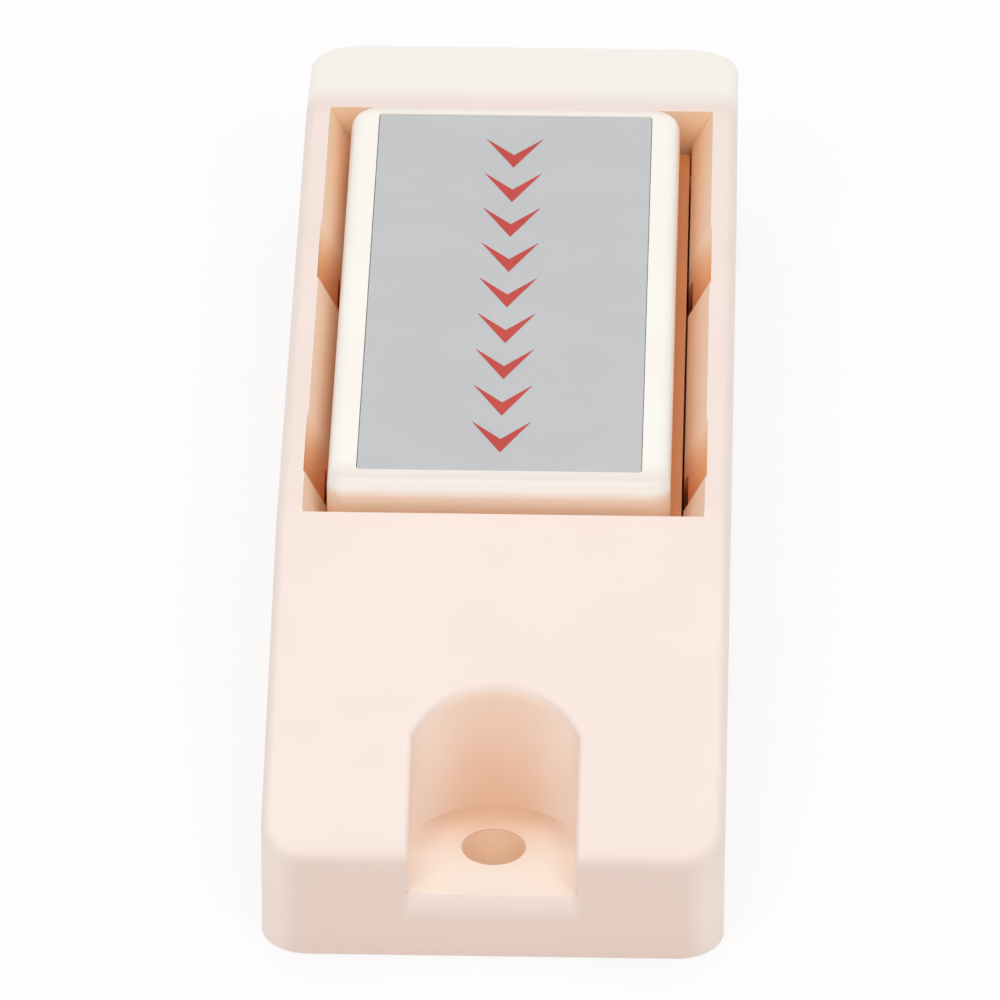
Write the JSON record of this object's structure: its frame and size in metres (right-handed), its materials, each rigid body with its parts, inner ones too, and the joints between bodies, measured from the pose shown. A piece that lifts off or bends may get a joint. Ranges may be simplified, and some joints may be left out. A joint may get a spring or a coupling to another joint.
{
  "type": "panic button",
  "caption": "Surface-mounted panic button: long hinged push button between raised guards on a wedge housing, with a screw pocket and a snap-action switch inside.",
  "frame": {"origin": "centre of the footprint, on the face that lies on the wall or under a counter", "axes": "+Z away from the wall, +Y along the housing towards the end with the pivot; the screw pocket is at the -Y end"},
  "size_m": [0.0322, 0.1028, 0.0176],
  "materials": {
    "housing_plastic": "fine satin moulding, warm white",
    "base_plastic": "matt moulding",
    "button_plastic": "semi-gloss moulding, white",
    "label": "printed grey film with red marks",
    "spring_wire": "drawn wire",
    "plated_screws": "zinc plated",
    "board": "green solder resist",
    "switch_plastic": "black",
    "plunger_plastic": "red",
    "lever_steel": "stamped strip",
    "contact_brass": "bright",
    "block_plastic": "green",
    "clamp_metal": "nickel plated"
  },
  "bodies": {
    "case": {"housing": "housing_plastic", "base_plate": "base_plastic", "base_screws": "plated_screws", "return_spring_left": "spring_wire", "return_spring_right": "spring_wire", "circuit_board": "board", "board_screws": "plated_screws", "switch_base": "switch_plastic", "switch_case": "switch_plastic", "terminal_common": "contact_brass", "terminal_normally_open": "contact_brass", "terminal_normally_closed": "contact_brass", "terminal_block": "block_plastic", "clamp_screws": "plated_screws", "wire_clamps": "clamp_metal", "block_pins": "contact_brass"},
    "button": {"button_cap": "button_plastic", "label_plate": "label"},
    "lever": {"switch_lever": "lever_steel"},
    "plunger": {"switch_plunger": "plunger_plastic"},
    "blade": {"contact_blade": "contact_brass"}
  },
  "joints": [
    {"name": "button_press", "type": "hinge", "parent": "case", "child": "button", "pos_m": [0, 0.0336, 0.0112], "axis": [1, 0, 0], "range_deg": [0, 2.4], "stiffness_Nm_per_rad": 1.5, "springref_deg": -3.44, "deforming": ["return_spring_left", "return_spring_right"]},
    {"name": "lever_swing", "type": "hinge", "parent": "case", "child": "lever", "pos_m": [0, 0.0069, 0.012], "axis": [1, 0, 0], "range_deg": [0, 8.02]},
    {"name": "plunger_slide", "type": "slide", "parent": "case", "child": "plunger", "axis": [0, 0, -1], "range_m": [0, 0.000552]},
    {"name": "blade_snap", "type": "hinge", "parent": "case", "child": "blade", "pos_m": [0, -0.003, 0.0087], "axis": [-1, 0, 0], "range_deg": [0, 5.02]}
  ],
  "couplings": [
    {"joint": "lever_swing", "follows": "button_press", "ratio": 3.3333},
    {"joint": "plunger_slide", "follows": "button_press", "m_per_rad": 0.01313},
    {"joint": "blade_snap", "follows": "button_press", "ratio": 2.0833}
  ]
}
